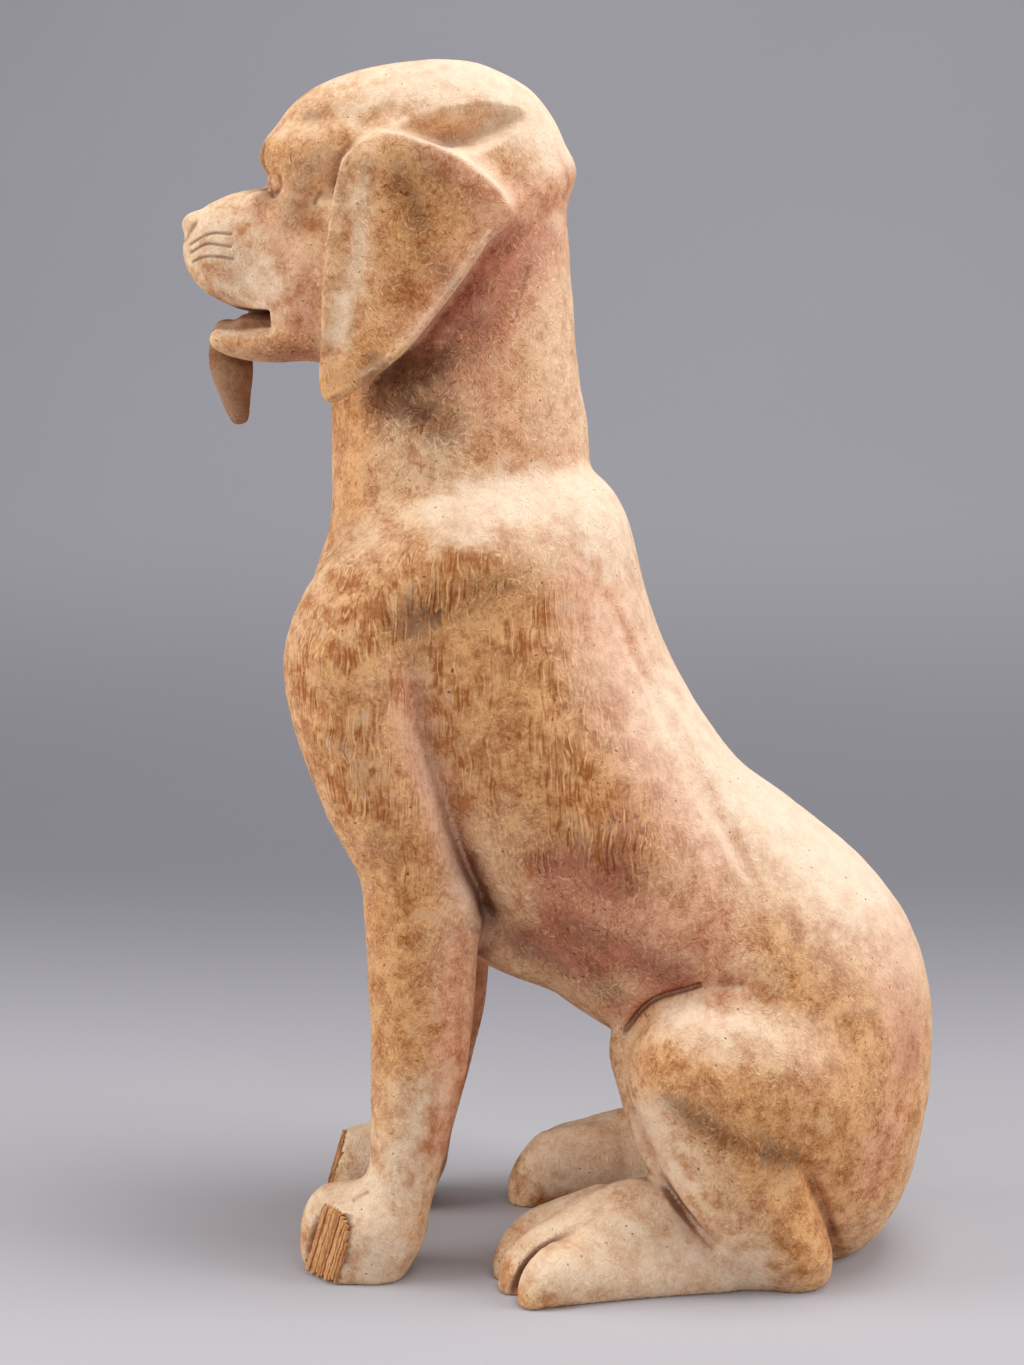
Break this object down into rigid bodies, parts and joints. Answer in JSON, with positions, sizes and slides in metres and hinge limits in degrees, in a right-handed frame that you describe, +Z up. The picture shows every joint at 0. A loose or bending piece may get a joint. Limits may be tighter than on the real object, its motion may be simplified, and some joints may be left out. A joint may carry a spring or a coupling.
{
  "type": "wooden dog figurine",
  "caption": "Carved wooden dog sitting upright with straight forelegs, hanging leaf-shaped ears and a lolling tongue, standing on flat soles under its own weight.",
  "frame": {"origin": "on the surface the soles stand on, under the middle of the figure's bounding box", "axes": "+Z up; the dog looks along -X; its left side faces -Y"},
  "size_m": [0.2842, 0.155, 0.4502],
  "materials": {
    "carved_wood": "dry, unvarnished pale wood, rasped all over, with ochre, brown and faded pink stains"
  },
  "bodies": {
    "root": {"carved_dog": "carved_wood"}
  },
  "joints": []
}
